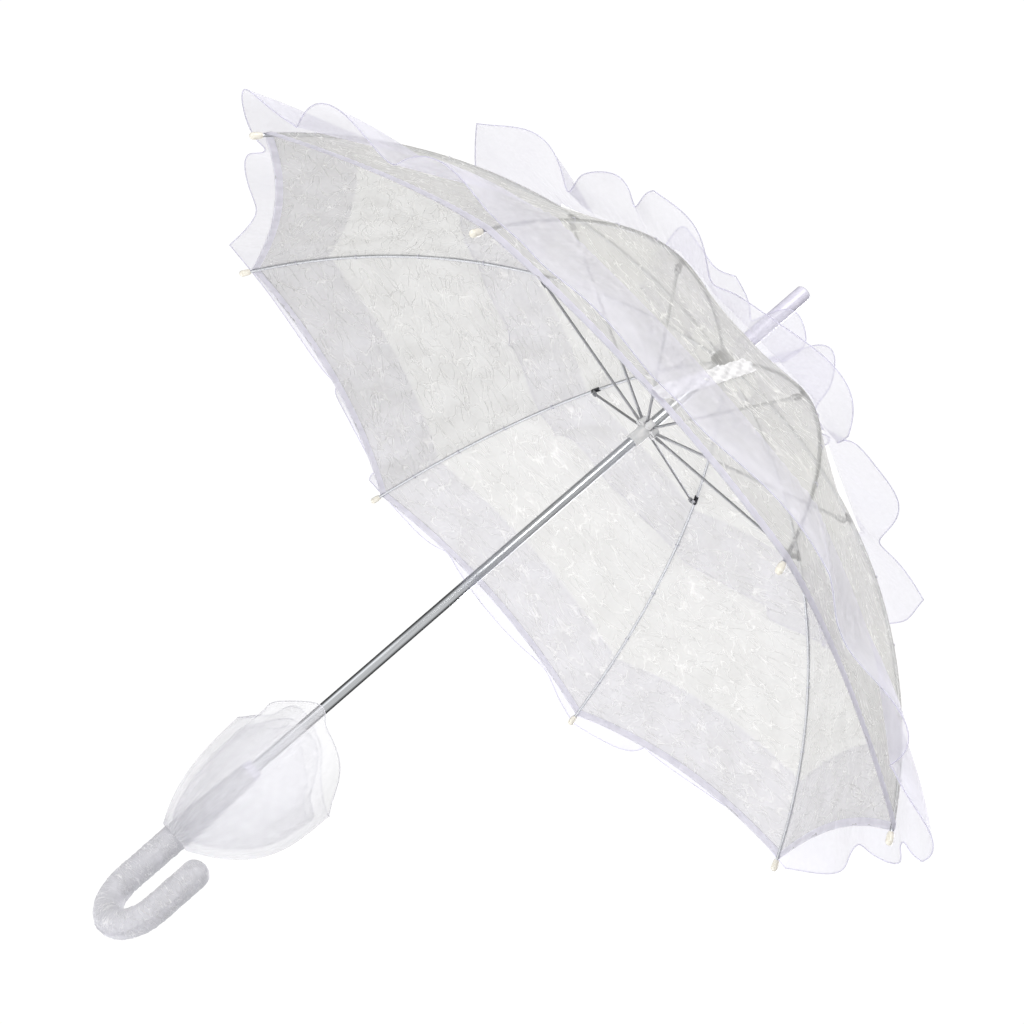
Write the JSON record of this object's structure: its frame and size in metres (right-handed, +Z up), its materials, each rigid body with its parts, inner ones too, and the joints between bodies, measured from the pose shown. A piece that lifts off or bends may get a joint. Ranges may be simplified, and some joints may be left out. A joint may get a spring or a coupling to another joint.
{
  "type": "lace parasol",
  "caption": "Open lace parasol with a crook handle, steel shaft, sliding runner, folding ribs and stretchers, lace canopy and organza frills.",
  "frame": {"origin": "middle of the straight hand grip, on the shaft's axis", "axes": "+Z up the shaft towards the ferrule, +X from the shaft towards the crook's open arm"},
  "size_m": [0.7096, 0.7096, 0.6888],
  "materials": {
    "chromed_steel": "bright chromed tube",
    "rib_steel": "zinc-bright steel wire",
    "dark_steel": "dark pressed steel",
    "white_plastic": "moulded, slightly translucent",
    "bead_plastic": "pearl white bead",
    "lace": "sheer crinkled lace",
    "organza": "sheer organza",
    "satin": "white satin ribbon"
  },
  "bodies": {
    "stick": {"shaft_tube": "chromed_steel", "ferrule": "white_plastic", "crown_notch": "dark_steel", "crown_ring_wire": "rib_steel", "handle_core": "white_plastic", "handle_lace_sleeve": "lace", "handle_collar": "satin", "handle_ruffle": "organza"},
    "runner": {"runner": "white_plastic"},
    "top_spring": {"top_spring": "dark_steel"},
    "bottom_spring": {"bottom_spring": "dark_steel"},
    "rib_1": {"rib_1": "rib_steel", "rib_tip_1": "bead_plastic", "rib_clip_1": "dark_steel", "canopy_panel_1": "lace", "frill_1": "organza"},
    "stretcher_1": {"stretcher_1": "dark_steel"},
    "rib_2": {"rib_2": "rib_steel", "rib_tip_2": "bead_plastic", "rib_clip_2": "dark_steel", "canopy_panel_2": "lace", "frill_2": "organza"},
    "stretcher_2": {"stretcher_2": "dark_steel"},
    "rib_3": {"rib_3": "rib_steel", "rib_tip_3": "bead_plastic", "rib_clip_3": "dark_steel", "canopy_panel_3": "lace", "frill_3": "organza"},
    "stretcher_3": {"stretcher_3": "dark_steel"},
    "rib_4": {"rib_4": "rib_steel", "rib_tip_4": "bead_plastic", "rib_clip_4": "dark_steel", "canopy_panel_4": "lace", "frill_4": "organza"},
    "stretcher_4": {"stretcher_4": "dark_steel"},
    "rib_5": {"rib_5": "rib_steel", "rib_tip_5": "bead_plastic", "rib_clip_5": "dark_steel", "canopy_panel_5": "lace", "frill_5": "organza"},
    "stretcher_5": {"stretcher_5": "dark_steel"},
    "rib_6": {"rib_6": "rib_steel", "rib_tip_6": "bead_plastic", "rib_clip_6": "dark_steel", "canopy_panel_6": "lace", "frill_6": "organza"},
    "stretcher_6": {"stretcher_6": "dark_steel"},
    "rib_7": {"rib_7": "rib_steel", "rib_tip_7": "bead_plastic", "rib_clip_7": "dark_steel", "canopy_panel_7": "lace", "frill_7": "organza"},
    "stretcher_7": {"stretcher_7": "dark_steel"},
    "rib_8": {"rib_8": "rib_steel", "rib_tip_8": "bead_plastic", "rib_clip_8": "dark_steel", "canopy_panel_8": "lace", "frill_8": "organza", "closure_strap": "satin"},
    "stretcher_8": {"stretcher_8": "dark_steel"}
  },
  "joints": [
    {"name": "runner_slide", "type": "slide", "parent": "stick", "child": "runner", "axis": [0, 0, -1], "range_m": [0, 0.2138]},
    {"name": "rib_1_fold", "type": "hinge", "parent": "stick", "child": "rib_1", "pos_m": [0.00604, 0.00392, 0.5236], "axis": [-0.5446, 0.8387, 0], "range_deg": [0, 58.01], "deforming": ["canopy_panel_1", "frill_1"]},
    {"name": "stretcher_1_fold", "type": "hinge", "parent": "rib_1", "child": "stretcher_1", "pos_m": [0.13022, 0.08457, 0.48388], "axis": [-0.5446, 0.8387, 0], "range_deg": [-116.02, 0]},
    {"name": "rib_2_fold", "type": "hinge", "parent": "stick", "child": "rib_2", "pos_m": [0.0015, 0.00704, 0.5236], "axis": [-0.9781, 0.2079, 0], "range_deg": [0, 58.01], "deforming": ["canopy_panel_2", "frill_2"]},
    {"name": "stretcher_2_fold", "type": "hinge", "parent": "rib_2", "child": "stretcher_2", "pos_m": [0.03228, 0.15188, 0.48388], "axis": [-0.9781, 0.2079, 0], "range_deg": [-116.02, 0]},
    {"name": "rib_3_fold", "type": "hinge", "parent": "stick", "child": "rib_3", "pos_m": [-0.00392, 0.00604, 0.5236], "axis": [-0.8387, -0.5446, 0], "range_deg": [0, 58.01], "deforming": ["canopy_panel_3", "frill_3"]},
    {"name": "stretcher_3_fold", "type": "hinge", "parent": "rib_3", "child": "stretcher_3", "pos_m": [-0.08457, 0.13022, 0.48388], "axis": [-0.8387, -0.5446, 0], "range_deg": [-116.02, 0]},
    {"name": "rib_4_fold", "type": "hinge", "parent": "stick", "child": "rib_4", "pos_m": [-0.00704, 0.0015, 0.5236], "axis": [-0.2079, -0.9781, 0], "range_deg": [0, 58.01], "deforming": ["canopy_panel_4", "frill_4"]},
    {"name": "stretcher_4_fold", "type": "hinge", "parent": "rib_4", "child": "stretcher_4", "pos_m": [-0.15188, 0.03228, 0.48388], "axis": [-0.2079, -0.9781, 0], "range_deg": [-116.02, 0]},
    {"name": "rib_5_fold", "type": "hinge", "parent": "stick", "child": "rib_5", "pos_m": [-0.00604, -0.00392, 0.5236], "axis": [0.5446, -0.8387, 0], "range_deg": [0, 58.01], "deforming": ["canopy_panel_5", "frill_5"]},
    {"name": "stretcher_5_fold", "type": "hinge", "parent": "rib_5", "child": "stretcher_5", "pos_m": [-0.13022, -0.08457, 0.48388], "axis": [0.5446, -0.8387, 0], "range_deg": [-116.02, 0]},
    {"name": "rib_6_fold", "type": "hinge", "parent": "stick", "child": "rib_6", "pos_m": [-0.0015, -0.00704, 0.5236], "axis": [0.9781, -0.2079, 0], "range_deg": [0, 58.01], "deforming": ["canopy_panel_6", "frill_6"]},
    {"name": "stretcher_6_fold", "type": "hinge", "parent": "rib_6", "child": "stretcher_6", "pos_m": [-0.03228, -0.15188, 0.48388], "axis": [0.9781, -0.2079, 0], "range_deg": [-116.02, 0]},
    {"name": "rib_7_fold", "type": "hinge", "parent": "stick", "child": "rib_7", "pos_m": [0.00392, -0.00604, 0.5236], "axis": [0.8387, 0.5446, 0], "range_deg": [0, 58.01], "deforming": ["canopy_panel_7", "frill_7"]},
    {"name": "stretcher_7_fold", "type": "hinge", "parent": "rib_7", "child": "stretcher_7", "pos_m": [0.08457, -0.13022, 0.48388], "axis": [0.8387, 0.5446, 0], "range_deg": [-116.02, 0]},
    {"name": "rib_8_fold", "type": "hinge", "parent": "stick", "child": "rib_8", "pos_m": [0.00704, -0.0015, 0.5236], "axis": [0.2079, 0.9781, 0], "range_deg": [0, 58.01], "deforming": ["canopy_panel_8", "frill_8", "closure_strap"]},
    {"name": "stretcher_8_fold", "type": "hinge", "parent": "rib_8", "child": "stretcher_8", "pos_m": [0.15188, -0.03228, 0.48388], "axis": [0.2079, 0.9781, 0], "range_deg": [-116.02, 0]},
    {"name": "top_spring_press", "type": "hinge", "parent": "stick", "child": "top_spring", "pos_m": [-0.00124, 0.00085, 0.39406], "axis": [0.5664, 0.8241, 0], "range_deg": [0, 4], "stiffness_Nm_per_rad": 0.02, "springref_deg": -9.74},
    {"name": "bottom_spring_press", "type": "hinge", "parent": "stick", "child": "bottom_spring", "pos_m": [-0.00124, 0.00085, 0.25045], "axis": [-0.5664, -0.8241, 0], "range_deg": [0, 4], "stiffness_Nm_per_rad": 0.02, "springref_deg": -9.74}
  ],
  "couplings": [
    {"joint": "rib_1_fold", "follows": "runner_slide", "rad_per_m": 4.7347},
    {"joint": "stretcher_1_fold", "follows": "runner_slide", "rad_per_m": -9.4694},
    {"joint": "rib_2_fold", "follows": "runner_slide", "rad_per_m": 4.7347},
    {"joint": "stretcher_2_fold", "follows": "runner_slide", "rad_per_m": -9.4694},
    {"joint": "rib_3_fold", "follows": "runner_slide", "rad_per_m": 4.7347},
    {"joint": "stretcher_3_fold", "follows": "runner_slide", "rad_per_m": -9.4694},
    {"joint": "rib_4_fold", "follows": "runner_slide", "rad_per_m": 4.7347},
    {"joint": "stretcher_4_fold", "follows": "runner_slide", "rad_per_m": -9.4694},
    {"joint": "rib_5_fold", "follows": "runner_slide", "rad_per_m": 4.7347},
    {"joint": "stretcher_5_fold", "follows": "runner_slide", "rad_per_m": -9.4694},
    {"joint": "rib_6_fold", "follows": "runner_slide", "rad_per_m": 4.7347},
    {"joint": "stretcher_6_fold", "follows": "runner_slide", "rad_per_m": -9.4694},
    {"joint": "rib_7_fold", "follows": "runner_slide", "rad_per_m": 4.7347},
    {"joint": "stretcher_7_fold", "follows": "runner_slide", "rad_per_m": -9.4694},
    {"joint": "rib_8_fold", "follows": "runner_slide", "rad_per_m": 4.7347},
    {"joint": "stretcher_8_fold", "follows": "runner_slide", "rad_per_m": -9.4694}
  ]
}
